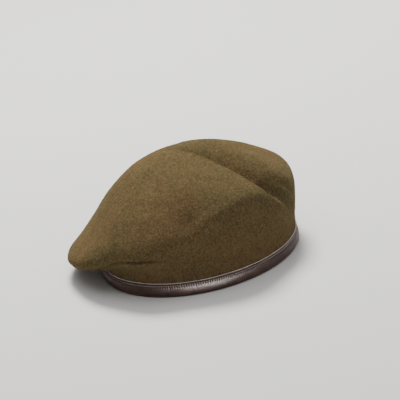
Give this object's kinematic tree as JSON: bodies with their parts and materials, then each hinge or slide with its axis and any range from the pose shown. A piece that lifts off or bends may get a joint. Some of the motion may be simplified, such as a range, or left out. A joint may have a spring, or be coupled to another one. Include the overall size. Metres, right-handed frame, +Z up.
{
  "type": "beret",
  "caption": "Wool felt beret with a leather-bound head opening, drawstring, lining, badge stiffener and vent eyelets; the crown is pulled down to the wearer's right.",
  "frame": {"origin": "centre of the head opening, in the plane of the leather binding's lower edge", "axes": "+Z up through the crown, -Y towards the wearer's front, +X towards the wearer's left, so the crown is pulled down towards -X"},
  "size_m": [0.2089, 0.233, 0.1055],
  "materials": {
    "felt": "milled wool felt, olive khaki, short nap",
    "leather": "thin dark brown leather, soft gloss",
    "cotton_cord": "braided cotton cord, dull",
    "thread": "waxed sewing thread",
    "satin": "black satin lining, soft sheen",
    "stiffener": "stiff woven buckram",
    "eyelet_metal": "bronzed eyelet, satin"
  },
  "bodies": {
    "root": {"felt_crown": "felt", "leather_binding": "leather", "drawstring": "cotton_cord", "needle_thread": "thread", "bobbin_thread": "thread", "back_seam_thread": "thread", "lining_side": "satin", "lining_tip": "satin", "badge_stiffener": "stiffener", "vent_eyelet_front": "eyelet_metal", "vent_eyelet_rear": "eyelet_metal", "vent_washer_front": "eyelet_metal", "vent_washer_rear": "eyelet_metal"}
  },
  "joints": []
}
